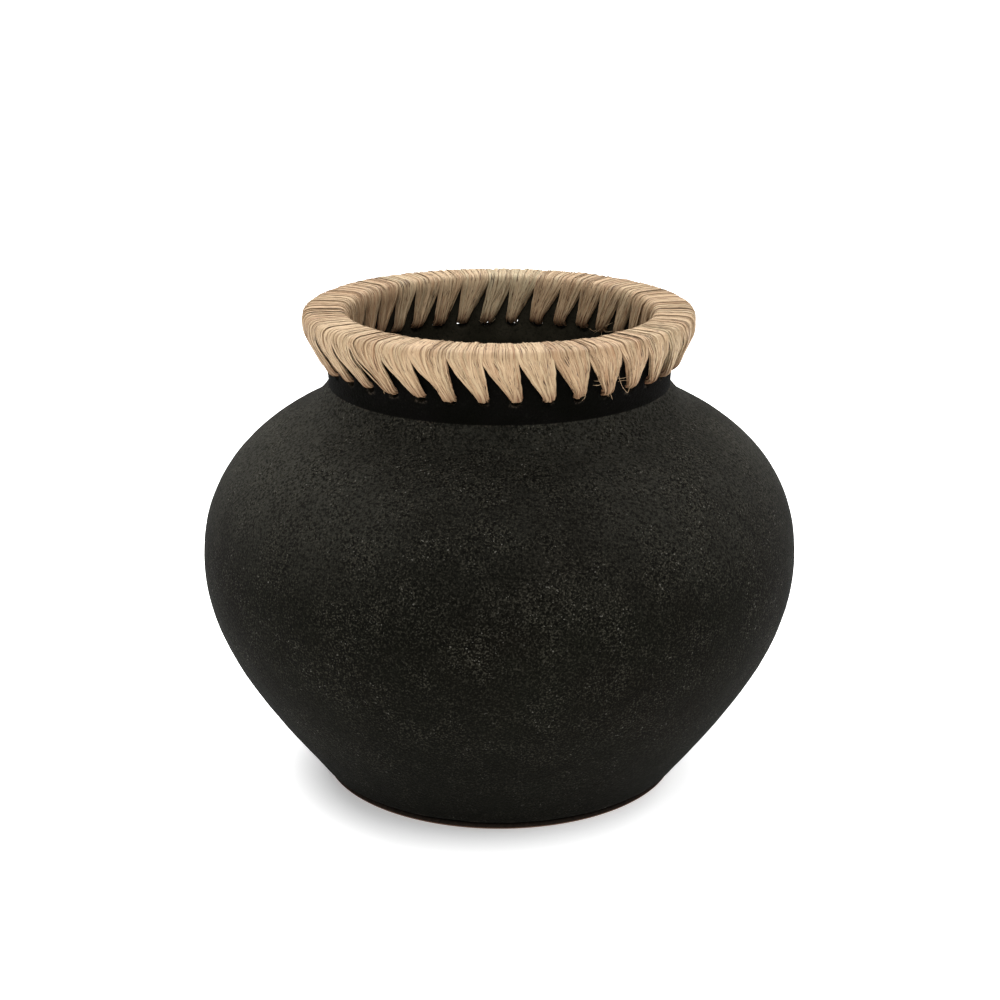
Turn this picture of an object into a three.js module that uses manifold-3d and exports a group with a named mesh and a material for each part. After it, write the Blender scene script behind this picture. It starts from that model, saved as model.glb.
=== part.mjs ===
// Matte black clay vase with a raffia-bound rim.
// Millimetres, +Z up. The origin is the centre of the flat base.
import * as THREE from "three";
import { mergeVertices } from "three/addons/utils/BufferGeometryUtils.js";
import Module from "manifold-3d";

const wasm = await Module();
wasm.setup();

// Clay pot: overall sizes.
const BELLY_RADIUS = 140;
const BELLY_HEIGHT = 106.5;
const FOOT_RADIUS = 85;
const FOOT_ROUNDING = 1.5;
const FLOOR_THICKNESS = 10;
const WALL = 8;

// Neck and the everted clay lip that the raffia is wrapped round.
const NECK_RADIUS = 79.3;
const NECK_BASE_HEIGHT = 188.7;
const LIP_UNDERSIDE_HEIGHT = 213.5;
const LIP_TOP_HEIGHT = 220.8;
const LIP_OUTER_RADIUS = 87.8;
const LIP_INNER_RADIUS = 71.8;
const LIP_CHAMFER = 3;

// The ring of lacing holes round the neck.
const HOLE_COUNT = 36;
const HOLE_HEIGHT = 200;
const HOLE_DIAMETER = 6;
const PITCH = (2 * Math.PI) / HOLE_COUNT;
const FIRST_HOLE_ANGLE = PITCH / 2;

// Raffia lashings: each one is a bundle of strands through its own hole, over the lip and back.
const RAFFIA_THICKNESS = 2.2;
const GAP = 0.3;
const TIP_WIDTH = 5;
const BUNDLE_DIAMETER = 4.4;
const LEAN = 0.5 * PITCH;

// How finely the round shapes are divided.
const LATHE_SEGMENTS = 72;
const OUTER_BELLY_STEPS = 7;
const INNER_BELLY_STEPS = 6;
const NECK_STEPS = 3;
const HOLE_SIDES = 8;
const BUNDLE_SIDES = 6;

const BLACK_CLAY = { color: 0x2b2b2a, roughness: 0.95, metalness: 0 };
const RAFFIA = { color: 0xc4a67c, roughness: 0.8, metalness: 0 };

// A lathe round +Z of a profile of (radius, height) points.
function turned(profile) {
  const geometry = new THREE.LatheGeometry(profile, LATHE_SEGMENTS);
  geometry.rotateX(Math.PI / 2);
  return geometry;
}

// A closed three.js geometry as a solid that can be joined and cut.
function solid(geometry) {
  const bare = new THREE.BufferGeometry();
  bare.setIndex(geometry.index);
  bare.setAttribute("position", geometry.getAttribute("position"));
  const merged = mergeVertices(bare, 1e-4);
  return new wasm.Manifold(
    new wasm.Mesh({
      numProp: 3,
      vertProperties: new Float32Array(merged.attributes.position.array),
      triVerts: new Uint32Array(merged.index.array),
    }),
  );
}

function geometryOf(manifold) {
  const mesh = manifold.getMesh();
  const geometry = new THREE.BufferGeometry();
  geometry.setAttribute("position", new THREE.BufferAttribute(mesh.vertProperties, 3));
  geometry.setIndex(new THREE.BufferAttribute(mesh.triVerts, 1));
  geometry.computeVertexNormals();
  return geometry;
}

// A rod along the radius at angle 0, through the neck wall at the height of the holes.
function radialRod(diameter, from, to, sides) {
  const rod = new THREE.CylinderGeometry(diameter / 2, diameter / 2, to - from, sides);
  rod.rotateZ(Math.PI / 2);
  rod.translate((from + to) / 2, 0, HOLE_HEIGHT);
  return rod;
}

const point = (radius, height) => new THREE.Vector2(radius, height);

// Outside of the pot, from the centre of the base up to the underside of the lip.
function outerWall() {
  const lowerBelly = new THREE.CubicBezierCurve(
    point(FOOT_RADIUS, FOOT_ROUNDING), point(112.5, 36),
    point(BELLY_RADIUS, 69), point(BELLY_RADIUS, BELLY_HEIGHT),
  );
  const upperBelly = new THREE.CubicBezierCurve(
    point(BELLY_RADIUS, BELLY_HEIGHT), point(BELLY_RADIUS, 139.5),
    point(121, 162), point(92, 176),
  );
  const neckRoot = new THREE.QuadraticBezierCurve(
    point(92, 176), point(84.7, 179.5), point(NECK_RADIUS, NECK_BASE_HEIGHT),
  );
  const neck = new THREE.QuadraticBezierCurve(
    point(NECK_RADIUS, NECK_BASE_HEIGHT), point(NECK_RADIUS + 0.7, 203),
    point(LIP_OUTER_RADIUS - 4, LIP_UNDERSIDE_HEIGHT - 3),
  );
  return [
    point(0, 0),
    point(FOOT_RADIUS - FOOT_ROUNDING, 0),
    ...lowerBelly.getPoints(OUTER_BELLY_STEPS),
    ...upperBelly.getPoints(OUTER_BELLY_STEPS).slice(1),
    ...neckRoot.getPoints(NECK_STEPS).slice(1),
    ...neck.getPoints(NECK_STEPS).slice(1),
  ];
}

// The lip: a chamfered rim, wider than the neck on the outside.
function lip() {
  return [
    point(LIP_OUTER_RADIUS, LIP_UNDERSIDE_HEIGHT + 1),
    point(LIP_OUTER_RADIUS, LIP_TOP_HEIGHT - LIP_CHAMFER),
    point(LIP_OUTER_RADIUS - LIP_CHAMFER, LIP_TOP_HEIGHT),
    point(LIP_INNER_RADIUS + LIP_CHAMFER, LIP_TOP_HEIGHT),
    point(LIP_INNER_RADIUS, LIP_TOP_HEIGHT - LIP_CHAMFER),
  ];
}

// Inside of the pot, from the neck down to the centre of the floor, one wall in from the outside.
function innerWall() {
  const neckRoot = new THREE.QuadraticBezierCurve(
    point(NECK_RADIUS - WALL, NECK_BASE_HEIGHT - 3), point(NECK_RADIUS - WALL + 1, 176),
    point(88.5, 169),
  );
  const upperBelly = new THREE.CubicBezierCurve(
    point(88.5, 169), point(116, 155),
    point(BELLY_RADIUS - WALL, 135), point(BELLY_RADIUS - WALL, BELLY_HEIGHT),
  );
  const lowerBelly = new THREE.CubicBezierCurve(
    point(BELLY_RADIUS - WALL, BELLY_HEIGHT), point(BELLY_RADIUS - WALL, 71),
    point(107, 41), point(84, 14),
  );
  return [
    ...neckRoot.getPoints(NECK_STEPS),
    ...upperBelly.getPoints(INNER_BELLY_STEPS).slice(1),
    ...lowerBelly.getPoints(INNER_BELLY_STEPS).slice(1),
    point(74, FLOOR_THICKNESS),
    point(0, FLOOR_THICKNESS),
  ];
}

function clayPot() {
  let pot = solid(turned([...outerWall(), ...lip(), ...innerWall()]));
  const drill = radialRod(HOLE_DIAMETER, NECK_RADIUS - 2 * WALL, NECK_RADIUS + WALL, HOLE_SIDES);
  for (let i = 0; i < HOLE_COUNT; i += 1) {
    const placed = drill.clone().rotateZ(FIRST_HOLE_ANGLE + i * PITCH);
    pot = pot.subtract(solid(placed));
  }
  return geometryOf(pot);
}

// The raffia strap's own radii and heights: even thickness, one gap away from the clay.
const OUT_TOP = LIP_OUTER_RADIUS + GAP + RAFFIA_THICKNESS;
const IN_TOP = LIP_INNER_RADIUS - GAP - RAFFIA_THICKNESS;
const TOP = LIP_TOP_HEIGHT + GAP + RAFFIA_THICKNESS;
const OUT_TIP = NECK_RADIUS + 1 + GAP + RAFFIA_THICKNESS;
const IN_TIP = NECK_RADIUS - WALL - GAP - RAFFIA_THICKNESS;
const TIP_HEIGHT = HOLE_HEIGHT - BUNDLE_DIAMETER / 2;
const FAN_TOP = LIP_TOP_HEIGHT - LIP_CHAMFER;
const CREST_SLOPE = 4;

// Section of a strap that runs all the way round: up from the holes, over the lip and down inside.
function strapSection() {
  const outerFace = [
    point(OUT_TIP, TIP_HEIGHT),
    point(OUT_TOP, LIP_UNDERSIDE_HEIGHT + 1),
    point(OUT_TOP, FAN_TOP),
    point(OUT_TOP - CREST_SLOPE, TOP),
    point(IN_TOP + CREST_SLOPE, TOP),
    point(IN_TOP, FAN_TOP),
    point(IN_TIP, TIP_HEIGHT),
  ];
  const facingClay = [
    point(IN_TIP + RAFFIA_THICKNESS, TIP_HEIGHT),
    point(IN_TOP + RAFFIA_THICKNESS, FAN_TOP + GAP),
    point(IN_TOP + RAFFIA_THICKNESS + LIP_CHAMFER, TOP - RAFFIA_THICKNESS),
    point(OUT_TOP - RAFFIA_THICKNESS - LIP_CHAMFER, TOP - RAFFIA_THICKNESS),
    point(OUT_TOP - RAFFIA_THICKNESS, FAN_TOP + GAP),
    point(OUT_TOP - RAFFIA_THICKNESS, LIP_UNDERSIDE_HEIGHT + 1),
    point(OUT_TIP - RAFFIA_THICKNESS, TIP_HEIGHT),
  ];
  return [...outerFace, ...facingClay, outerFace[0]];
}

// An upright slab between two radii, fan-shaped seen along the radius: narrow at the hole, leaning
// back as it widens to the pitch at the lip.
function fan(topRadius, from, to) {
  const halfTip = TIP_WIDTH / 2;
  const middle = -LEAN * topRadius;
  const reach = (PITCH / 2) * topRadius - GAP;
  const shape = new THREE.Shape();
  shape.moveTo(-halfTip, TIP_HEIGHT - 1);
  shape.lineTo(halfTip, TIP_HEIGHT - 1);
  shape.lineTo(halfTip, HOLE_HEIGHT);
  shape.lineTo(middle + reach, FAN_TOP);
  shape.lineTo(middle - reach, FAN_TOP);
  shape.lineTo(-halfTip, HOLE_HEIGHT);
  const slab = new THREE.ExtrudeGeometry(shape, { depth: to - from, bevelEnabled: false });
  slab.rotateX(Math.PI / 2);
  slab.rotateZ(Math.PI / 2);
  slab.translate(from, 0, 0);
  return slab;
}

// The lashing's share of the lip: one pitch wide, less a gap, seen from above.
function lipShare() {
  const halfAngle = PITCH / 2 - GAP / IN_TOP;
  const corner = (radius, angle) => [radius * Math.cos(angle), radius * Math.sin(angle)];
  const shape = new THREE.Shape();
  shape.moveTo(...corner(IN_TOP - 1, -LEAN - halfAngle));
  shape.lineTo(...corner(OUT_TOP + 1, -LEAN - halfAngle));
  shape.lineTo(...corner(OUT_TOP + 1, -LEAN + halfAngle));
  shape.lineTo(...corner(IN_TOP - 1, -LEAN + halfAngle));
  const wedge = new THREE.ExtrudeGeometry(shape, { depth: TOP - FAN_TOP + 2, bevelEnabled: false });
  wedge.translate(0, 0, FAN_TOP - 1);
  return wedge;
}

// One lashing, for a hole at angle 0: the strap over the lip, closed by the bundle through the hole.
function raffiaLashing() {
  const outline = solid(fan(OUT_TOP, NECK_RADIUS, OUT_TOP + 1))
    .add(solid(fan(IN_TOP, IN_TIP - 2, NECK_RADIUS - WALL + 2)))
    .add(solid(lipShare()));
  const strap = solid(turned(strapSection())).intersect(outline);
  const bundle = radialRod(BUNDLE_DIAMETER, IN_TIP + 0.5, OUT_TIP + GAP, BUNDLE_SIDES);
  return geometryOf(strap.add(solid(bundle)));
}

function piece(name, geometry, finish) {
  const mesh = new THREE.Mesh(geometry, new THREE.MeshStandardMaterial(finish));
  mesh.name = name;
  return mesh;
}

const vase = new THREE.Group();
vase.add(piece("clay_pot", clayPot(), BLACK_CLAY));

const lashing = raffiaLashing();
for (let i = 0; i < HOLE_COUNT; i += 1) {
  const copy = piece(`raffia_lashing_${String(i + 1).padStart(2, "0")}`, lashing, RAFFIA);
  copy.rotation.z = FIRST_HOLE_ANGLE + i * PITCH;
  vase.add(copy);
}

export default vase;
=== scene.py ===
import math
import random

import bpy
import numpy as np
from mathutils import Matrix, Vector, noise


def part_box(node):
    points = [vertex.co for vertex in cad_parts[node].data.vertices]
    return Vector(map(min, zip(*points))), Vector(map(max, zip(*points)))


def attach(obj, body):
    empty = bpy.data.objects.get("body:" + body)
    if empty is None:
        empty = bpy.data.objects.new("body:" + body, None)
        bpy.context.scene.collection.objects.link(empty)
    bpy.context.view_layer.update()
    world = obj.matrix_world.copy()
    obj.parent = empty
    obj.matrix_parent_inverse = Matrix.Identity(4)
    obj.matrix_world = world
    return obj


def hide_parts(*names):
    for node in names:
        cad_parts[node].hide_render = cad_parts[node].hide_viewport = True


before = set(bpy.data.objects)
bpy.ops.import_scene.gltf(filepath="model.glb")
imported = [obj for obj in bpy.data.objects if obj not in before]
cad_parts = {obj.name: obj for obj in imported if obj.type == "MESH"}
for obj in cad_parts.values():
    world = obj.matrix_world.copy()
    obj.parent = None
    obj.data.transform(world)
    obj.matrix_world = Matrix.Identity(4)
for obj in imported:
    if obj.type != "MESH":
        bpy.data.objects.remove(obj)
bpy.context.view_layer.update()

# A matte black clay vase whose rim is bound with raffia. Metres, +Z up, origin at the centre of the base.
MM = 0.001

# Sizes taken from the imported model, in millimetres.
POT_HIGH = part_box("clay_pot")[1]
BELLY_RADIUS = POT_HIGH[0] / MM
LIP_TOP = POT_HIGH[2] / MM
LASHINGS = sorted(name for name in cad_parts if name.startswith("raffia_lashing_"))
PITCH = 2 * math.pi / len(LASHINGS)

# The clay: the outline's own places, in millimetres.
BELLY_HEIGHT = 106.5
FOOT_RADIUS = 85.0
NECK_RADIUS = 79.3
NECK_BASE = 188.7
WALL = 8.0
FLOOR = 10.0
LIP_OUTER = 87.8
LIP_INNER = 71.8
LIP_UNDERSIDE = 214.5
HOLE_HEIGHT = 200.0
HOLE_RADIUS = 3.0

BARE_FOOT_TOP = 2.6
# The base stands this far towards the camera of the middle of the pot.
BASE_FORWARD = 1.5

# The pot's mesh is a grid of rows and columns. Each hole takes the cells up to HOLE_REACH from its middle.
COLUMNS_PER_HOLE = 12
COLUMNS = COLUMNS_PER_HOLE * len(LASHINGS)
HOLE_ROW_STEP = 1.2
HOLE_REACH = 3
HOLE_ROWS_SPAN = HOLE_ROW_STEP * 8
# How much of the way each ring of grid points round a hole is moved onto its circle.
HOLE_PULL = {HOLE_REACH: 1.0, HOLE_REACH + 1: 0.45, HOLE_REACH + 2: 0.15}
HOLE_RING_STEP = 1.25

# What each part of the pot's surface is.
SANDY, SMOOTH, BARE = 0, 1, 2


# ---------------------------------------------------------------- meshes

def new_piece(name, points, faces, material, node):
    """A smooth mesh from points in millimetres, on the vase's one body, in place of the CAD's node."""
    mesh = bpy.data.meshes.new(name)
    mesh.from_pydata((np.asarray(points) * MM).tolist(), [], faces)
    mesh.polygons.foreach_set("use_smooth", [True] * len(mesh.polygons))
    mesh.materials.append(material)
    piece = bpy.data.objects.new(name, mesh)
    bpy.context.scene.collection.objects.link(piece)
    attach(piece, "root")
    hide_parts(node)
    return piece


def point_attribute(piece, name, values):
    """Stores one number, or one vector, at each point of the piece for its material to read."""
    values = np.asarray(values, dtype=np.float32)
    if values.ndim == 1:
        layer = piece.data.attributes.new(name, "FLOAT", "POINT")
        layer.data.foreach_set("value", values)
    else:
        layer = piece.data.attributes.new(name, "FLOAT_VECTOR", "POINT")
        layer.data.foreach_set("vector", values.ravel())


def bezier(p0, p1, p2, p3, steps):
    """Points along a cubic curve, without its first point."""
    t = np.linspace(0, 1, steps + 1)[1:, None]
    p0, p1, p2, p3 = (np.array(p, float) for p in (p0, p1, p2, p3))
    return (1 - t) ** 3 * p0 + 3 * (1 - t) ** 2 * t * p1 + 3 * (1 - t) * t * t * p2 + t ** 3 * p3


def fractal(points, size, octaves=3, seed=0.0):
    """Smooth noise from about -1 to 1 at each point; size is that of its largest bumps, in millimetres."""
    shift = Vector((seed * 13.7, seed * 7.1, seed * 3.3))
    return np.array([
        noise.fractal(Vector(p) / size + shift, 0.9, 2.1, octaves, noise_basis="PERLIN_ORIGINAL")
        for p in points
    ])


# ---------------------------------------------------------------- the clay pot

def outer_profile():
    """(radius, height) rows up the outside, from the edge of the base to the top of the lip."""
    rows = [np.array([
        [60.0, 0.0], [75.0, 0.0], [82.0, 0.0], [84.2, 0.05], [84.9, 0.35], [85.2, 1.0], [85.3, 1.8],
        [85.2, 2.45], [84.2, 2.7], [84.2, 3.9], [87.0, 4.3], [87.9, 4.9],
    ])]
    lower = bezier((FOOT_RADIUS, 1.5), (112.5, 36), (BELLY_RADIUS, 69), (BELLY_RADIUS, BELLY_HEIGHT), 60)
    lower = lower[lower[:, 1] > 5.6]
    lower[:, 0] += 0.7 * np.exp(-(lower[:, 1] - 4.0) / 9)
    rows.append(lower)
    rows.append(bezier((BELLY_RADIUS, BELLY_HEIGHT), (BELLY_RADIUS, 139.5), (121, 162), (92, 176), 44))
    rows.append(bezier((92, 176), (88, 178), (83.2, 182.5), (NECK_RADIUS + 0.15, NECK_BASE - 0.4), 10))
    rows.append(np.array([[NECK_RADIUS, NECK_BASE], [NECK_RADIUS + 0.05, NECK_BASE + 0.8]]))
    heights = np.arange(HOLE_HEIGHT - HOLE_ROWS_SPAN, HOLE_HEIGHT + HOLE_ROWS_SPAN + 0.01, HOLE_ROW_STEP)
    t = (heights - NECK_BASE) / 21.8
    neck = NECK_RADIUS + 1.3 * t + 3.2 * t ** 3
    rows.append(np.column_stack([neck, heights]))
    rows.append(np.array([
        [84.7, 211.3], [86.2, 213.0], [87.3, LIP_UNDERSIDE], [LIP_OUTER, 216.2], [LIP_OUTER, 217.8],
        [87.3, 219.4], [86.0, 220.4], [84.3, LIP_TOP], [81.5, LIP_TOP],
    ]))
    return np.vstack(rows)


def inner_profile():
    """(radius, height) rows down the inside, from the top of the lip to the floor."""
    rows = [np.array([
        [78.0, LIP_TOP], [75.4, LIP_TOP], [73.6, 220.4], [72.3, 219.4], [LIP_INNER, 217.8],
        [LIP_INNER, 215.5], [71.7, 212.6],
    ])]
    heights = np.arange(HOLE_HEIGHT + HOLE_ROWS_SPAN, HOLE_HEIGHT - HOLE_ROWS_SPAN - 0.01, -HOLE_ROW_STEP)
    rows.append(np.column_stack([NECK_RADIUS - WALL + 0.02 * (heights - NECK_BASE), heights]))
    top = NECK_RADIUS - WALL
    rows.append(bezier((top, 190.4), (top, 180), (79, 174.5), (88.5, 169), 9))
    rows.append(bezier((88.5, 169), (116, 155), (132, 135), (132, BELLY_HEIGHT), 18))
    rows.append(bezier((132, BELLY_HEIGHT), (132, 71), (107, 41), (84, 14), 18))
    rows.append(np.array([[80.5, 11.3], [75.0, FLOOR], [55.0, FLOOR]]))
    return np.vstack(rows)


def sheet_points(profile, angles):
    """A grid of points, one row for each profile point and one column for each angle."""
    radius = profile[:, 0][:, None]
    x = radius * np.cos(angles)[None, :]
    y = radius * np.sin(angles)[None, :]
    z = np.repeat(profile[:, 1][:, None], len(angles), axis=1)
    return np.stack([x, y, z], axis=2)


def pierce(grid, profile, first_row):
    """Shapes the grid round each lacing hole so that its block of cells becomes a circle.

    Returns the rows and columns of the hole edges, as one ring of grid places for each hole.
    """
    rings = []
    reach = max(HOLE_PULL)
    square = [(i, j) for i in range(-reach, reach + 1) for j in range(-reach, reach + 1)]
    heights = profile[:, 1]
    near = profile[first_row - 7:first_row + 8]
    near = near[np.argsort(near[:, 1])]
    step = 2 * math.pi / COLUMNS
    for hole in range(len(LASHINGS)):
        centre = hole * COLUMNS_PER_HOLE
        centre_angle = PITCH / 2 + hole * PITCH
        for i, j in square:
            ring = max(abs(i), abs(j))
            if ring < HOLE_REACH:
                continue
            row = first_row + i
            radius = profile[row, 0]
            across = j * step * radius
            up = heights[row] - HOLE_HEIGHT
            distance = math.hypot(across, up)
            wanted = HOLE_RADIUS + HOLE_RING_STEP * (ring - HOLE_REACH)
            scale = 1 + HOLE_PULL[ring] * (wanted / distance - 1)
            across, up = across * scale, up * scale
            height = HOLE_HEIGHT + up
            new_radius = np.interp(height, near[:, 1], near[:, 0])
            angle = centre_angle + across / new_radius
            column = (centre + j) % COLUMNS
            grid[row, column] = (new_radius * math.cos(angle), new_radius * math.sin(angle), height)
        k = HOLE_REACH
        edge = [(i, k) for i in range(-k, k)] + [(k, j) for j in range(k, -k, -1)]
        edge += [(i, -k) for i in range(k, -k, -1)] + [(-k, j) for j in range(-k, k)]
        rings.append([(first_row + i, (centre + j) % COLUMNS) for i, j in edge])
    return rings


def pierced_cells(first_row):
    """The grid cells that lie inside the holes."""
    cells = set()
    for hole in range(len(LASHINGS)):
        centre = hole * COLUMNS_PER_HOLE
        for i in range(-HOLE_REACH, HOLE_REACH):
            for j in range(-HOLE_REACH, HOLE_REACH):
                cells.add((first_row + i, (centre + j) % COLUMNS))
    return cells


def from_nearest_hole(points):
    """Each point's distance from its nearest hole's axis, and its height above it."""
    radius = np.hypot(points[:, 0], points[:, 1])
    angle = np.arctan2(points[:, 1], points[:, 0])
    across = ((angle + 10 * math.pi) % PITCH - PITCH / 2) * radius
    up = points[:, 2] - HOLE_HEIGHT
    return np.hypot(across, up), up


def hand_made(points, zone):
    """Moves the clay as a potter's hands leave it, the base a little forward, with a burr round each hole."""
    radius = np.hypot(points[:, 0], points[:, 1])
    outward = np.column_stack([points[:, 0] / radius, points[:, 1] / radius])
    slow = 0.45 * fractal(points, 75.0, 2, 1.0)
    medium = 0.16 * fractal(points, 17.0, 2, 2.0)
    fine = 0.07 * fractal(points, 4.5, 2, 3.0)
    amount = np.where(zone == SANDY, slow + medium + fine, 0.4 * slow + 0.5 * medium + 0.5 * fine)
    clear_of_base = np.clip((points[:, 2] - 4.0) / 12, 0, 1)
    amount = amount * np.where(zone == BARE, 0, clear_of_base)
    distance, up = from_nearest_hole(points)
    burr = 0.5 * np.exp(-((distance - 3.7) / 0.75) ** 2) * (0.75 - 0.25 * np.sign(up))
    burr = burr * (1 + 0.6 * fractal(points, 3.0, 1, 4.0)) * (radius > NECK_RADIUS - 1.5) * (zone == SMOOTH)
    amount = np.clip(amount, -1.2, 0.0) + np.clip(amount, 0, 0.7) + burr
    moved = points.copy()
    near_coat_edge = np.exp(-((points[:, 2] - 4.2) / 1.0) ** 2) * (radius > FOOT_RADIUS - 1.5)
    moved[:, 2] += 0.3 * fractal(points * (1, 1, 0), 21.0, 2, 6.0) * near_coat_edge
    moved[:, :2] += outward * amount[:, None]
    moved[:, 1] -= np.where(zone == SMOOTH, 0, BASE_FORWARD * np.exp(-points[:, 2] / 12))
    return moved


def clay_pot():
    """The pot as one closed mesh: both profiles turned, the holes bridged through, base and floor capped."""
    outside = outer_profile()
    inside = inner_profile()
    profile = np.vstack([outside, inside])
    angles = PITCH / 2 + np.arange(COLUMNS) * 2 * math.pi / COLUMNS
    grid = sheet_points(profile, angles)

    outer_row = int(np.argmin(np.abs(outside[:, 1] - HOLE_HEIGHT) + 50 * (outside[:, 0] < NECK_RADIUS)))
    inner_row = len(outside) + int(np.argmin(np.abs(inside[:, 1] - HOLE_HEIGHT)))
    outer_rings = pierce(grid, profile, outer_row)
    inner_rings = pierce(grid, profile, inner_row)
    missing = pierced_cells(outer_row) | pierced_cells(inner_row)

    rows = len(profile)
    zone = np.zeros((rows, COLUMNS))
    is_outside = np.arange(rows) < len(outside)
    zone[~is_outside | (profile[:, 1] >= NECK_BASE)] = SMOOTH
    zone[(profile[:, 1] < BARE_FOOT_TOP) & is_outside] = BARE
    points = grid.reshape(-1, 3)
    zone = zone.ravel()
    points = hand_made(points, zone)

    def place(row, column):
        return row * COLUMNS + column % COLUMNS

    faces = []
    for row in range(rows - 1):
        for column in range(COLUMNS):
            if (row, column) in missing:
                continue
            faces.append((
                place(row, column), place(row, column + 1),
                place(row + 1, column + 1), place(row + 1, column),
            ))
    count = len(points)
    extra = []
    for hole, (outer, inner) in enumerate(zip(outer_rings, inner_rings)):
        centre_angle = PITCH / 2 + hole * PITCH
        axis = np.array([math.cos(centre_angle), math.sin(centre_angle), 0.0])
        outer_ids = [place(*p) for p in outer]
        inner_ids = [place(*p) for p in reversed_heights(inner)]
        previous = outer_ids
        for depth in (0.08, 0.5, 0.92):
            ring = []
            for a, b in zip(outer_ids, inner_ids):
                p = points[a] * (1 - depth) + points[b] * depth
                ring.append(count + len(extra))
                centre = axis * (p @ axis) + np.array([0, 0, HOLE_HEIGHT])
                extra.append(centre + (p - centre) * 0.95)
            bridge(faces, previous, ring)
            previous = ring
        bridge(faces, previous, inner_ids)
    bottom = count + len(extra)
    extra.append(np.array([0.0, 0.0, 0.0]))
    top = bottom + 1
    extra.append(np.array([0.0, 0.0, FLOOR]))
    for column in range(COLUMNS):
        faces.append((bottom, place(0, column + 1), place(0, column)))
        faces.append((top, place(rows - 1, column), place(rows - 1, column + 1)))
    points = np.vstack([points, np.array(extra)])
    zone = np.concatenate([zone, np.full(len(extra), SMOOTH)])

    piece = new_piece("clay_pot_fired", points, faces, black_clay(), "clay_pot")
    point_attribute(piece, "smooth_clay", zone == SMOOTH)
    point_attribute(piece, "bare_clay", zone == BARE)
    point_attribute(piece, "inside", np.arange(len(points)) >= len(outside) * COLUMNS)
    # Dust on the shoulders, partly painted light: paler on the left and right than before and behind, where
    # the side lights fall.
    sideways = np.abs(np.cos(np.arctan2(points[:, 1], points[:, 0])))
    dust_and_side_light = np.clip((points[:, 2] - 116) / 50, 0, 1) * (0.35 + 0.65 * sideways ** 1.5)
    point_attribute(piece, "dust_and_side_light", dust_and_side_light * (zone == SANDY))
    point_attribute(piece, "worn_and_highlit", wear_and_highlight_marks(points))


def wear_and_highlight_marks(points):
    """How far the coat is rubbed off, with painted highlight, from 0 to 1: rubbed coat and painted highlight
    under each hole, rubbed coat along the neck's edge, painted highlight along the foot's coat edge.
    """
    radius = np.hypot(points[:, 0], points[:, 1])
    distance, up = from_nearest_hole(points)
    # Rubbed coat and a painted highlight on the burr below each hole.
    wear_and_highlight_under_hole = 0.9 * np.clip(1 - (distance - HOLE_RADIUS) / 0.7, 0, 1) * np.clip(-up - 1.2, 0, 1)
    wear_and_highlight_under_hole *= (distance > HOLE_RADIUS - 0.07) & (radius > NECK_RADIUS - 1)
    neck_edge = 0.7 * np.exp(-((points[:, 2] - NECK_BASE + 0.9) / 0.8) ** 2) * (radius > NECK_RADIUS - 1)
    # A painted highlight along the foot's coat edge.
    foot_coat_edge_highlight = 0.8 * np.exp(-((points[:, 2] - 4.6) / 0.35) ** 2) * (radius > FOOT_RADIUS)
    worn = np.clip(0.55 + 1.1 * fractal(points, 6.0, 2, 5.0), 0, 1)
    return np.clip((wear_and_highlight_under_hole + neck_edge + foot_coat_edge_highlight) * worn, 0, 1)


def reversed_heights(ring):
    """The inner grid runs down where the outer one runs up, so its ring is taken upside down."""
    rows = [row for row, _ in ring]
    middle = (min(rows) + max(rows)) // 2
    return [(2 * middle - row, column) for row, column in ring]


def bridge(faces, ring_a, ring_b):
    """Joins two closed rings of the same number of points with a band of faces."""
    for i in range(len(ring_a)):
        j = (i + 1) % len(ring_a)
        faces.append((ring_a[i], ring_a[j], ring_b[j], ring_b[i]))


# ---------------------------------------------------------------- materials

class Nodes:
    """A small helper that adds shader nodes and links them by name."""

    def __init__(self, name):
        self.material = bpy.data.materials.new(name)
        self.material.use_nodes = True
        self.tree = self.material.node_tree
        self.shader = self.tree.nodes["Principled BSDF"]

    def add(self, kind, settings=(), **inputs):
        node = self.tree.nodes.new(kind)
        for key, value in dict(settings).items():
            setattr(node, key, value)
        for key, value in inputs.items():
            self.feed(node, key.replace("_", " "), value)
        return node

    def feed(self, node, key, value):
        socket = node.inputs[int(key) if key.isdigit() else key]
        if isinstance(value, bpy.types.NodeSocket):
            self.tree.links.new(value, socket)
        else:
            socket.default_value = value

    def place(self):
        return self.add("ShaderNodeTexCoord").outputs["Object"]

    def attribute(self, name, output="Fac"):
        return self.add("ShaderNodeAttribute", {"attribute_name": name}).outputs[output]

    def noise(self, vector, scale, detail, roughness):
        node = self.add("ShaderNodeTexNoise", Vector=vector, Scale=scale, Detail=detail, Roughness=roughness)
        return node.outputs["Fac"]

    def spread(self, value, low, high, to_low=0.0, to_high=1.0):
        node = self.add("ShaderNodeMapRange", {"clamp": True}, Value=value)
        for key, number in zip(("From Min", "From Max", "To Min", "To Max"), (low, high, to_low, to_high)):
            node.inputs[key].default_value = number
        return node.outputs["Result"]

    def product(self, a, b):
        node = self.add("ShaderNodeMath", {"operation": "MULTIPLY"})
        self.feed(node, "0", a)
        self.feed(node, "1", b)
        return node.outputs["Value"]

    def blend(self, factor, a, b):
        node = self.add("ShaderNodeMix", {"data_type": "RGBA", "blend_type": "MIX"})
        self.feed(node, "0", factor)
        self.feed(node, "6", a)
        self.feed(node, "7", b)
        return node.outputs[2]

    def bump(self, height, strength, distance, normal=None):
        node = self.add("ShaderNodeBump", Height=height, Strength=strength, Distance=distance)
        if normal is not None:
            self.feed(node, "Normal", normal)
        return node.outputs["Normal"]


def colour(red, green, blue):
    """A colour given as it looks on a screen, from 0 to 255, in the renderer's linear values."""
    def linear(value):
        value = value / 255
        return value / 12.92 if value <= 0.04045 else ((value + 0.055) / 1.055) ** 2.4
    return (linear(red), linear(green), linear(blue), 1.0)


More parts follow.
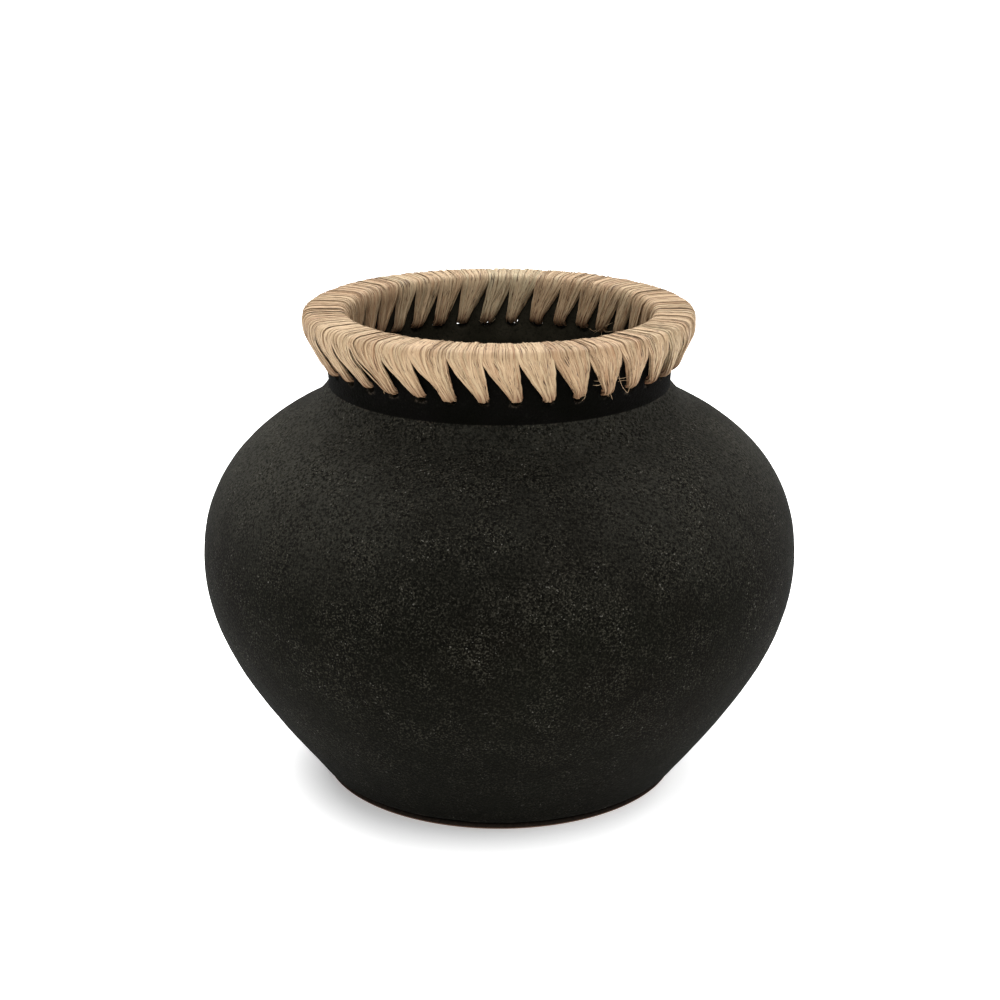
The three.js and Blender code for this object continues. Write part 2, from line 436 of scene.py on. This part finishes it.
def black_clay():
    """Sandy clay under a black coat; the neck and inside are smoother and blacker, the neck's black partly
    painted shade under the lip, and the foot is bare.
    """
    n = Nodes("black_clay")
    place = n.place()
    grain = n.noise(place, 1150.0, 2.0, 0.6)
    grit = n.noise(place, 700.0, 3.0, 0.7)
    specks = n.noise(place, 900.0, 1.0, 0.5)
    patches = n.noise(place, 55.0, 4.0, 0.62)
    dust = n.noise(place, 17.0, 4.0, 0.6)
    smoke = n.noise(place, 8.0, 3.0, 0.55)
    dust_and_side_light = n.attribute("dust_and_side_light")
    worn_and_highlit = n.attribute("worn_and_highlit")

    sandy = n.spread(patches, 0.42, 0.62)
    body = n.blend(n.spread(smoke, 0.42, 0.62), colour(12, 12, 8), colour(15, 13, 9))
    body = n.blend(n.spread(dust, 0.45, 0.62, 0, 0.7), body, colour(17, 18, 13))
    # Pale dust on the shoulders, partly painted light where the side lights fall.
    powder_and_side_light = n.product(dust_and_side_light, n.spread(dust, 0.35, 0.6, 0.45, 1.0))
    body = n.blend(powder_and_side_light, body, colour(53, 52, 47))
    dark = n.product(n.spread(grit, 0.55, 0.43), n.spread(sandy, 0, 1, 0.75, 1.0))
    body = n.blend(dark, body, colour(5, 5, 3))
    light = n.product(n.spread(grain, 0.5, 0.68), n.spread(sandy, 0, 1, 0.45, 1.0))
    light = n.product(light, n.spread(dust_and_side_light, 0, 1, 0.72, 1.0))
    body = n.blend(light, body, colour(60, 58, 50))
    body = n.blend(n.product(n.spread(specks, 0.7, 0.76), sandy), body, colour(96, 94, 87))

    height = n.add("ShaderNodeSeparateXYZ", Vector=place).outputs["Z"]
    # Painted shade: the body grows darker towards the bottom, from 125 mm down to 20 mm.
    body = n.blend(n.spread(height, 0.125, 0.02, 0, 0.52), body, colour(8, 8, 4))

    # The neck's own smoother black, made darker still as painted shade under the lip's overhang.
    smooth = n.blend(n.spread(patches, 0.4, 0.65), colour(5, 5, 3), colour(8, 7, 6))
    smooth = n.blend(n.spread(grit, 0.5, 0.34, 0, 0.6), smooth, colour(4, 4, 3))
    smooth = n.blend(n.product(n.spread(grain, 0.6, 0.76), sandy), smooth, colour(24, 24, 20))
    inner = n.blend(n.spread(patches, 0.4, 0.65), colour(38, 36, 28), colour(52, 49, 40))
    inner = n.blend(n.spread(grit, 0.5, 0.34, 0, 0.6), inner, colour(20, 19, 14))
    smooth = n.blend(n.attribute("inside"), smooth, inner)
    base = n.blend(n.attribute("smooth_clay"), body, smooth)
    bare = n.blend(n.spread(grit, 0.35, 0.65), colour(30, 25, 21), colour(46, 38, 32))
    bare = n.blend(n.spread(height, 0.0011, 0.0006), bare, colour(132, 104, 88))
    base = n.blend(n.attribute("bare_clay"), base, bare)
    # Rubbed coat, and painted highlights under the holes and on the foot's coat edge, in a paler grey-brown.
    wear_and_highlight = n.product(n.spread(worn_and_highlit, 0.25, 0.7), n.spread(grain, 0.42, 0.56))
    base = n.blend(wear_and_highlight, base, colour(58, 52, 45))
    n.feed(n.shader, "Base Color", base)
    n.feed(n.shader, "Roughness", n.spread(grit, 0.3, 0.7, 0.85, 1.0))
    n.shader.inputs["Specular IOR Level"].default_value = 0.03
    n.shader.inputs["Sheen Weight"].default_value = 0.008
    n.shader.inputs["Sheen Roughness"].default_value = 0.4
    relief = n.bump(grit, 0.7, 0.0008)
    relief = n.bump(grain, 0.5, 0.0004, relief)
    n.feed(n.shader, "Normal", relief)
    return n.material


def raffia():
    """Dry palm fibre. The attribute strand holds the place across and along a strand, and its number."""
    n = Nodes("raffia")
    strand = n.attribute("strand", "Vector")
    tint = n.attribute("tint")
    tone = n.attribute("tone")
    folded_and_shaded = n.attribute("folded_and_shaded")

    def along_fibres(across_scale, along_scale, detail):
        mapping = n.add("ShaderNodeMapping", Vector=strand)
        mapping.inputs["Scale"].default_value = (across_scale, along_scale, 1.0)
        return n.noise(mapping.outputs["Vector"], 1.0, detail, 0.6)

    fibres = along_fibres(2.4, 0.14, 3.0)
    hairs = along_fibres(6.0, 0.22, 2.0)
    slits = along_fibres(2.0, 0.17, 1.0)
    blotches = along_fibres(0.5, 0.12, 2.0)

    base = n.blend(tint, colour(157, 122, 89), colour(189, 164, 130))
    base = n.blend(tone, base, colour(168, 158, 128))
    base = n.blend(n.spread(blotches, 0.42, 0.7, 0, 0.4), base, colour(203, 176, 141))
    base = n.blend(n.spread(fibres, 0.47, 0.32, 0, 0.85), base, colour(130, 96, 68))
    base = n.blend(n.spread(hairs, 0.56, 0.74, 0, 0.5), base, colour(226, 204, 170))
    base = n.blend(n.spread(hairs, 0.4, 0.29, 0, 0.6), base, colour(110, 78, 53))
    base = n.blend(n.spread(slits, 0.37, 0.31, 0, 0.95), base, colour(64, 40, 25))
    # Painted shade: each strand is darker along its edges, where it meets its neighbours.
    rim = n.attribute("rim")
    edge = n.product(n.spread(rim, 0.72, 1.0), n.spread(hairs, 0.62, 0.42))
    base = n.blend(edge, base, colour(124, 91, 62))
    # Darker reddish-brown where the strands fold into the hole, partly painted shade.
    fold = n.product(folded_and_shaded, n.spread(fibres, 0.3, 0.6, 0.9, 0.35))
    base = n.blend(fold, base, colour(110, 72, 48))
    n.feed(n.shader, "Base Color", base)
    n.feed(n.shader, "Roughness", n.spread(fibres, 0.3, 0.7, 0.75, 0.55))
    n.shader.inputs["Specular IOR Level"].default_value = 0.3
    relief = n.bump(fibres, 0.6, 0.0005)
    relief = n.bump(hairs, 0.4, 0.0002, relief)
    n.feed(n.shader, "Normal", relief)
    return n.material


# ---------------------------------------------------------------- the raffia

# The inmost strand's way round the lip, as (radius, height): through the top of the hole, up outside,
# over the lip, and down inside to the hole again.
LOOP = [
    (76.0, 202.3), (79.4, 202.3), (80.9, 202.0), (83.3, 206.5), (87.0, 213.2), (87.85, 215.2),
    (88.2, 218.3), (88.0, 220.7), (85.6, 221.1), (79.8, 221.05), (75.2, 221.0), (72.9, 220.75),
    (71.65, 218.3), (71.45, 210.0), (71.15, 202.2), (72.6, 202.3),
]
LOOP_STEPS = 66
# The strands bunch together up to FAN_FOOT, fan out up to FAN_TOP, and lie side by side above it.
FAN_FOOT = 202.0
FAN_TOP = 220.2


def round_off(corners, times):
    """Cuts the corners of a closed outline again and again, until it is round."""
    points = np.array(corners, float)
    for _ in range(times):
        following = np.roll(points, -1, axis=0)
        cut = np.empty((2 * len(points), 2))
        cut[0::2] = 0.8 * points + 0.2 * following
        cut[1::2] = 0.2 * points + 0.8 * following
        points = cut
    return points


def strand_loop():
    """The inmost loop's points, closer at bends, the directions away from the clay, and the arc length."""
    fine = round_off(LOOP, 4)
    step = np.roll(fine, -1, axis=0) - fine
    length = np.hypot(*step.T)
    direction = step / length[:, None]
    turn = np.abs(np.cross(np.roll(direction, 1, axis=0), direction)) / length
    weight = length * (1 + 2.2 * np.clip(turn, 0, 1.5))
    at = np.concatenate([[0], np.cumsum(weight)])
    wanted = np.linspace(0, at[-1], LOOP_STEPS, endpoint=False)
    closed = np.vstack([fine, fine[:1]])
    points = np.column_stack([np.interp(wanted, at, closed[:, k]) for k in (0, 1)])
    tangent = np.roll(points, -1, axis=0) - np.roll(points, 1, axis=0)
    tangent /= np.hypot(*tangent.T)[:, None]
    away = np.column_stack([tangent[:, 1], -tangent[:, 0]])
    arc = np.concatenate([[0], np.cumsum(np.hypot(*(np.diff(points, axis=0)).T))])
    return points, away, arc


LOOP_POINTS, LOOP_AWAY, LOOP_ARC = strand_loop()


def lip_share():
    """How far each loop point has come from the hole towards the lip's edge, from 0 to 1."""
    radius, height = LOOP_POINTS.T
    share = np.clip((height - FAN_FOOT) / (FAN_TOP - FAN_FOOT), 0, 1)
    in_hole = (radius > 71.3) & (radius < 80.6) & (height < 204)
    return np.where(in_hole, 0, share)


LIP_SHARE = lip_share()
# The fans' tips are wider inside the neck than outside.
TIP_SPREAD = np.where(LOOP_POINTS[:, 0] > 76, 1.0, 1.3)
# 1 on top of the lip, where the strands lie flatter and wider, and 0 on its sides.
ON_TOP = np.clip((LOOP_POINTS[:, 1] - 219.2) / 1.3, 0, 1)


def wander(rng, amount, waves=(1, 2, 3), fade=1.0):
    """A smooth closed curve of small random values, one for each loop point; quick waves fade."""
    turn = 2 * math.pi * LOOP_ARC / (LOOP_ARC[-1] + 1)
    total = np.zeros(LOOP_STEPS)
    for wave in waves:
        total += rng.uniform(-1, 1) / wave ** fade * np.sin(wave * turn + rng.uniform(0, 2 * math.pi))
    return amount * total


STRANDS_SEED = 7000
BOUNDARY_SEED = 900
# These two were bound with greyer, greener palm.
GREY_LASHINGS = (8, 9)
GREY_TONE = 0.55


class Strands:
    """Collects the strands of one lashing: their points, their faces and what their material reads."""

    def __init__(self, number):
        self.rng = random.Random(STRANDS_SEED + number)
        self.points, self.faces, self.count = [], [], 0
        self.facts, self.tints, self.tones, self.folds, self.edge_shades = [], [], [], [], []
        self.family_tint = self.rng.random()
        self.family_tone = max(0.0, self.rng.gauss(0.0, 0.1)) + GREY_TONE * (number in GREY_LASHINGS)

    def tube(self, centre, side, up, half, thick, section, length, fold, closed):
        """A strand along centre with the given section, scaled at each step by half and thick."""
        across, height = section
        steps, sides = len(centre), len(across)
        body = (
            centre[:, None, :]
            + side[:, None, :] * (half[:, None] * across[None, :])[:, :, None]
            + up[:, None, :] * (thick[:, None] * height[None, :])[:, :, None]
        )
        facts = np.empty((steps, sides, 3))
        facts[:, :, 0] = across[None, :] * half[:, None]
        facts[:, :, 1] = length[:, None]
        facts[:, :, 2] = self.rng.uniform(0, 400)
        tint = 0.5 * self.family_tint + 0.5 * self.rng.random() + self.rng.uniform(-0.15, 0.15)
        tone = self.family_tone + self.rng.gauss(0.05, 0.15)
        self.points.append(body.reshape(-1, 3))
        self.facts.append(facts.reshape(-1, 3))
        self.tints.append(np.full(steps * sides, np.clip(tint, 0, 1)))
        self.tones.append(np.full(steps * sides, np.clip(tone, 0, 1)))
        self.folds.append(np.repeat(fold, sides))
        # How far across the strand each point lies, for the painted shade along its edges.
        self.edge_shades.append(np.tile(np.abs(across) if closed else np.zeros(sides), steps))
        start = self.count
        for i in range(steps if closed else steps - 1):
            a, b = start + i * sides, start + ((i + 1) % steps) * sides
            for j in range(sides):
                k = (j + 1) % sides
                self.faces.append((a + j, a + k, b + k, b + j))
        if not closed:
            self.faces.append(tuple(range(start + sides - 1, start - 1, -1)))
            self.faces.append(tuple(range(start + (steps - 1) * sides, start + steps * sides)))
        self.count += steps * sides

    def strap(self, hole_angle, lip_angle, tip_across, lift, tip_lift, width, tip_width, thickness, ribs,
              bow=0.92):
        """One flat strand as a closed loop. Angles in radians, sizes in millimetres.

        lift and tip_lift are its distance from the inmost loop on the lip and at the hole, and bow bends
        its way between the two: under 1 it turns to its place on the lip early, over 1 late.
        """
        rng = self.rng
        share = LIP_SHARE
        smooth = share * share * (3 - 2 * share)
        loose = 1.25 - share
        off = tip_lift * (1 - share) + lift * share + wander(rng, 0.09, (2, 5, 8), 0.5) * loose
        off += rng.uniform(-0.25, 0.25) * ON_TOP
        radius = LOOP_POINTS[:, 0] + LOOP_AWAY[:, 0] * off
        height = LOOP_POINTS[:, 1] + LOOP_AWAY[:, 1] * off
        tip_angle = hole_angle + tip_across / NECK_RADIUS * TIP_SPREAD
        lip_path = lip_angle + wander(rng, 0.0028, (1, 2, 3, 5))
        fan = share ** bow
        angle = tip_angle * (1 - fan) + lip_path * fan
        angle += wander(rng, 0.0011, (7, 10, 14), 0.0) * np.clip(3 * share, 0, 1)
        centre = np.column_stack([radius * np.cos(angle), radius * np.sin(angle), height])
        along = np.roll(centre, -1, axis=0) - np.roll(centre, 1, axis=0)
        along /= np.linalg.norm(along, axis=1)[:, None]
        away = np.column_stack([
            LOOP_AWAY[:, 0] * np.cos(angle), LOOP_AWAY[:, 0] * np.sin(angle), LOOP_AWAY[:, 1],
        ])
        away -= along * np.sum(away * along, axis=1)[:, None]
        away /= np.linalg.norm(away, axis=1)[:, None]
        side = np.cross(along, away)
        roll = (wander(rng, 0.2, (1, 3, 6), 0.4) + rng.uniform(-0.15, 0.15)) * loose
        cos, sin = np.cos(roll)[:, None], np.sin(roll)[:, None]

        half = 0.5 * (tip_width * (1 - smooth) + width * smooth)
        half = half * (1 + wander(rng, 0.1)) * (1 + 0.45 * ON_TOP)
        places = np.linspace(-1, 1, ribs)
        crown = np.sqrt(np.clip(1 - 0.93 * places ** 2, 0, 1))
        ridge = np.array([rng.uniform(-1, 1) for _ in places]) * 0.3
        cup = rng.uniform(-0.2, 0.3) * places ** 2
        upper = crown * 0.5 * (1 + ridge) + cup
        lower = -crown * 0.5 + cup
        section = (
            np.concatenate([places, places[::-1][1:-1]]),
            np.concatenate([upper, lower[::-1][1:-1]]),
        )
        thick = thickness * (1 + 0.8 * (1 - smooth))
        # 1 where the strand folds into the hole, fading out up the fan: darker there, partly painted shade.
        fold = np.clip(1 - share / 0.28, 0, 1)
        self.tube(centre, side * cos + away * sin, away * cos - side * sin, half, thick, section,
                  LOOP_ARC, fold, True)

    def wisp(self, corners, width):
        """A loose fibre through points given as (angle, radius, height), tapered at both ends."""
        points = np.array([(r * math.cos(a), r * math.sin(a), z) for a, r, z in corners])
        at = np.linspace(0, len(points) - 1, 5 * len(points))
        centre = np.column_stack([np.interp(at, range(len(points)), points[:, k]) for k in range(3)])
        for _ in range(3):
            centre[1:-1] = (centre[:-2] + 2 * centre[1:-1] + centre[2:]) / 4
        along = np.gradient(centre, axis=0)
        along /= np.linalg.norm(along, axis=1)[:, None] + 1e-9
        outward = centre * (1, 1, 0)
        outward /= np.linalg.norm(outward, axis=1)[:, None]
        outward = outward + (0, 0, 0.35)
        side = np.cross(along, outward)
        side /= np.linalg.norm(side, axis=1)[:, None]
        up = np.cross(side, along)
        taper = np.clip(np.minimum(at, at[-1] - at) * 1.2 + 0.35, 0, 1)
        turn = np.linspace(0, 2 * math.pi, 5, endpoint=False)
        length = np.concatenate([[0], np.cumsum(np.linalg.norm(np.diff(centre, axis=0), axis=1))])
        self.tube(centre, side, up, 0.5 * width * taper, 0.35 * width * taper,
                  (np.cos(turn)[::-1], np.sin(turn)[::-1]), length, np.zeros(len(at)), False)

    def finish(self, name, material):
        """Makes one piece of all the strands, in place of the CAD lashing called name."""
        piece = new_piece(name + "_strands", np.vstack(self.points), self.faces, material, name)
        point_attribute(piece, "strand", np.vstack(self.facts))
        point_attribute(piece, "tint", np.concatenate(self.tints))
        point_attribute(piece, "tone", np.concatenate(self.tones))
        point_attribute(piece, "folded_and_shaded", np.concatenate(self.folds))
        point_attribute(piece, "rim", np.concatenate(self.edge_shades))


UPPER_STRANDS = 17
UNDER_STRANDS = 6
HAIRS = 7
# The binding is a little thicker on this side, in degrees round from +X.
THICK_SIDE = -165

LOOSE_END_WIDTH = 0.24
# Loose ends and stray fibres at their places on the rim: (degrees round from the front, radius, height).
LOOSE_ENDS = (
    ((35.0, 82.8, 201.0), (35.2, 83.4, 199.2), (36.2, 82.8, 196.6)),
    ((34.6, 82.8, 201.0), (34.0, 83.6, 199.6), (34.3, 83.0, 198.4)),
    ((34.6, 90.2, 216.5), (35.0, 88.6, 209.0), (37.6, 86.4, 203.0), (41.0, 84.6, 198.6), (42.0, 84.0, 199.8),
     (43.4, 84.2, 204.6)),
    ((28.6, 83.6, 204.8), (30.5, 83.9, 204.4), (32.4, 84.4, 205.6), (34.2, 85.2, 206.3)),
    ((29.0, 83.4, 206.6), (31.2, 84.2, 206.2), (33.6, 85.0, 206.8)),
    ((37.6, 83.8, 204.6), (39.3, 84.2, 204.8), (41.4, 84.8, 204.4)),
    ((37.4, 84.0, 206.0), (39.6, 84.4, 205.8), (41.2, 85.0, 206.4)),
    ((52.6, 83.6, 205.0), (52.2, 83.9, 202.4), (52.4, 83.6, 200.2)),
    ((53.4, 84.4, 205.0), (53.0, 85.0, 203.4), (51.6, 85.2, 203.0)),
    ((135.0, 70.8, 202.4), (131.5, 68.6, 203.2), (128.0, 69.4, 205.6)),
    ((135.0, 70.8, 201.4), (131.0, 68.2, 200.2), (127.4, 69.2, 201.6)),
    ((135.0, 70.6, 201.0), (133.0, 67.6, 198.4), (129.6, 67.2, 197.6)),
    ((135.6, 70.6, 201.4), (137.8, 68.4, 199.2), (140.6, 68.8, 200.4)),
    ((134.4, 70.6, 202.0), (133.4, 67.4, 201.4), (136.4, 66.8, 199.0)),
    ((185.0, 70.8, 201.8), (183.0, 69.2, 203.0), (181.6, 69.6, 201.4), (183.4, 69.4, 199.6)),
    ((185.4, 70.8, 201.0), (187.0, 69.2, 199.6), (188.6, 69.6, 200.8)),
    ((205.0, 88.4, 222.3), (206.5, 88.9, 223.6), (208.0, 88.2, 223.4)),
    ((193.4, 86.0, 222.6), (192.4, 86.6, 224.0), (191.0, 86.0, 223.6)),
    ((167.0, 87.0, 222.6), (165.8, 87.6, 223.8), (164.6, 87.0, 223.2)),
)


def boundary(number):
    """How far round from its hole one lashing gives way to the next on the lip, in radians."""
    return math.radians(random.Random(BOUNDARY_SEED + number % len(LASHINGS)).uniform(-1.3, 0.5))


def lashing(number, name, material):
    """One lashing: flat strands from its hole, fanned over its share of the lip, clockwise of the hole."""
    strands = Strands(number)
    rng = strands.rng
    hole = PITCH / 2 + number * PITCH
    first = hole - PITCH + boundary(number - 1)
    last = hole + boundary(number)
    tip_half = rng.uniform(2.0, 2.7)
    fullness = rng.choice((0.7, 0.85, 0.9, 0.95, 1.0))
    swell = 0.35 * (1 + math.cos(hole - math.radians(THICK_SIDE)))
    split_at, split_width = rng.uniform(0.2, 0.8), rng.choice((0.0, 0.0, 0.3, 0.6))
    first_bow, last_bow = rng.uniform(0.82, 1.3), rng.uniform(0.82, 1.3)

    def lip(share):
        return first + (last - first) * share

    for i in range(UNDER_STRANDS):
        share = (i + 0.5) / UNDER_STRANDS
        strands.strap(
            hole, lip(share), (share - 0.5) * 1.5 * tip_half,
            lift=0.7, tip_lift=0.6, width=3.2, tip_width=1.8, thickness=0.5, ribs=5,
        )
    for i in range(UPPER_STRANDS):
        share = (i + 0.5 + rng.uniform(-0.3, 0.3)) / UPPER_STRANDS
        round_tip = math.sqrt(1 - 0.9 * (2 * share - 1) ** 2)
        apart = math.copysign(split_width, share - split_at) * math.exp(-abs(share - split_at) / 0.18)
        strands.strap(
            hole, lip(share), (2 * share - 1) * tip_half + rng.uniform(-0.3, 0.3) + apart,
            lift=swell + rng.uniform(1.3, 1.85),
            tip_lift=0.5 + 3.3 * fullness * round_tip * rng.uniform(0.5, 1),
            width=rng.uniform(1.0, 2.5), tip_width=rng.uniform(0.7, 1.6),
            thickness=rng.uniform(0.22, 0.38), ribs=9,
            bow=first_bow + (last_bow - first_bow) * share + rng.uniform(-0.05, 0.05),
        )
    for _ in range(rng.choice((1, 2, 3))):
        share = rng.uniform(0.05, 0.95)
        tip_share = min(1, max(0, share + rng.choice((-1, 1)) * rng.uniform(0.3, 0.6)))
        strands.strap(
            hole, lip(share), (2 * tip_share - 1) * tip_half,
            lift=swell + rng.uniform(1.8, 2.1), tip_lift=rng.uniform(2.4, 3.6) * fullness,
            width=rng.uniform(0.7, 1.5), tip_width=rng.uniform(0.6, 1.0), thickness=0.26, ribs=7,
        )
    for _ in range(HAIRS):
        share = rng.uniform(0.03, 0.97)
        across = (2 * share - 1) * tip_half + rng.uniform(-0.5, 0.5)
        strands.strap(
            hole, lip(share + rng.uniform(-0.03, 0.03)), across,
            lift=swell + rng.uniform(1.75, 2.1), tip_lift=rng.uniform(1.8, 3.4) * fullness,
            width=rng.uniform(0.2, 0.45), tip_width=rng.uniform(0.2, 0.4), thickness=0.22, ribs=4,
        )
    for _ in range(rng.choice((0, 0, 0, 1))):
        start = hole + rng.uniform(-2.4, 2.4) / NECK_RADIUS
        drift, drop = rng.uniform(-0.02, 0.02), rng.uniform(0.4, 2.4)
        corners = [
            (start, 81.8, 201.8), (start + drift, 83.6, 201.0), (start + 2 * drift, 83.8, 200.8 - drop),
            (start + 2 * drift + rng.uniform(-0.015, 0.015), 83.2, 200.2 - 1.4 * drop),
        ]
        strands.wisp(corners, rng.uniform(0.14, 0.26))
    for ends in LOOSE_ENDS:
        corners = [(math.radians(degrees - 90), radius, height) for degrees, radius, height in ends]
        if round((corners[0][0] - PITCH / 2) / PITCH) % len(LASHINGS) == number:
            strands.wisp(corners, LOOSE_END_WIDTH)
    strands.finish(name, material)


# ---------------------------------------------------------------- stage, light and camera

# Metres, degrees and millimetres of focal length, as fitted to the photograph.
CAMERA_PLACE = (0.0002, -0.900, 0.422)
CAMERA_PITCH = 18.02
CAMERA_LENS = 71.7

FLOOR_REACH = 15.0
# The floor glows as painted light, and less round a place a little left of and before the pot's
# middle, as a painted shadow: the strengths at these distances from it, in metres.
GLOW_CENTRE = (-0.014, -0.018, 0.0)
GLOW_RADII = (0.068, 0.098)
GLOW_STRENGTHS = (0.27, 0.68)

WORLD_STRENGTH = 0.25
# Each light's name, then, in degrees, its direction round from the front (right is positive), its height
# above the horizon and its width across, and then its strength.
SUNS = (
    ("back_softbox", 172, 60, 50, 1.7),
    ("left_softbox", -141, 50, 40, 1.8),
    ("right_softbox", 142, 42, 40, 1.45),
    ("front_softbox", -12, 40, 70, 0.8),
    ("top_softbox", -5, 68, 50, 1.22),
)


def studio():
    """A white floor that glows, dimmer near the pot as a painted shadow, under soft light from behind, both
    sides, above and, more weakly, the front.
    """
    floor_mesh = bpy.data.meshes.new("studio_floor")
    corners = [(x * FLOOR_REACH, y * FLOOR_REACH, 0) for x, y in ((-1, -1), (1, -1), (1, 1), (-1, 1))]
    floor_mesh.from_pydata(corners, [], [(0, 1, 2, 3)])
    floor = bpy.data.objects.new("studio_floor", floor_mesh)
    bpy.context.scene.collection.objects.link(floor)
    white = Nodes("white_floor")
    white.shader.inputs["Base Color"].default_value = (0.9, 0.9, 0.9, 1)
    white.shader.inputs["Roughness"].default_value = 1.0
    white.shader.inputs["Specular IOR Level"].default_value = 0.0
    white.shader.inputs["Emission Color"].default_value = (1, 1, 1, 1)
    offset = white.add("ShaderNodeVectorMath", {"operation": "SUBTRACT"})
    white.feed(offset, "0", white.place())
    offset.inputs[1].default_value = GLOW_CENTRE
    distance = white.add("ShaderNodeVectorMath", {"operation": "LENGTH"})
    white.feed(distance, "0", offset.outputs["Vector"])
    # Painted shadow: the floor's glow is dimmer near the pot.
    glow_with_painted_shadow = white.spread(distance.outputs["Value"], *GLOW_RADII, *GLOW_STRENGTHS)
    white.feed(white.shader, "Emission Strength", glow_with_painted_shadow)
    floor_mesh.materials.append(white.material)

    world = bpy.data.worlds.new("white_studio")
    world.use_nodes = True
    background = world.node_tree.nodes["Background"]
    background.inputs["Color"].default_value = (1, 1, 1, 1)
    background.inputs["Strength"].default_value = WORLD_STRENGTH
    bpy.context.scene.world = world

    for name, azimuth, elevation, spread, strength in SUNS:
        light = bpy.data.lights.new(name, "SUN")
        light.angle = math.radians(spread)
        light.energy = strength
        lamp = bpy.data.objects.new(name, light)
        around, up = math.radians(azimuth - 90), math.radians(elevation)
        towards = Vector((math.cos(around) * math.cos(up), math.sin(around) * math.cos(up), math.sin(up)))
        lamp.rotation_euler = towards.to_track_quat("Z", "Y").to_euler()
        bpy.context.scene.collection.objects.link(lamp)


def camera():
    data = bpy.data.cameras.new("camera")
    data.sensor_width = 36.0
    data.lens = CAMERA_LENS
    view = bpy.data.objects.new("camera", data)
    view.location = CAMERA_PLACE
    view.rotation_euler = (math.radians(90 - CAMERA_PITCH), 0, 0)
    bpy.context.scene.collection.objects.link(view)
    bpy.context.scene.camera = view


camera()
studio()
clay_pot()
palm = raffia()
for index, node_name in enumerate(LASHINGS):
    lashing(index, node_name, palm)

bpy.context.scene.view_settings.view_transform = "Standard"
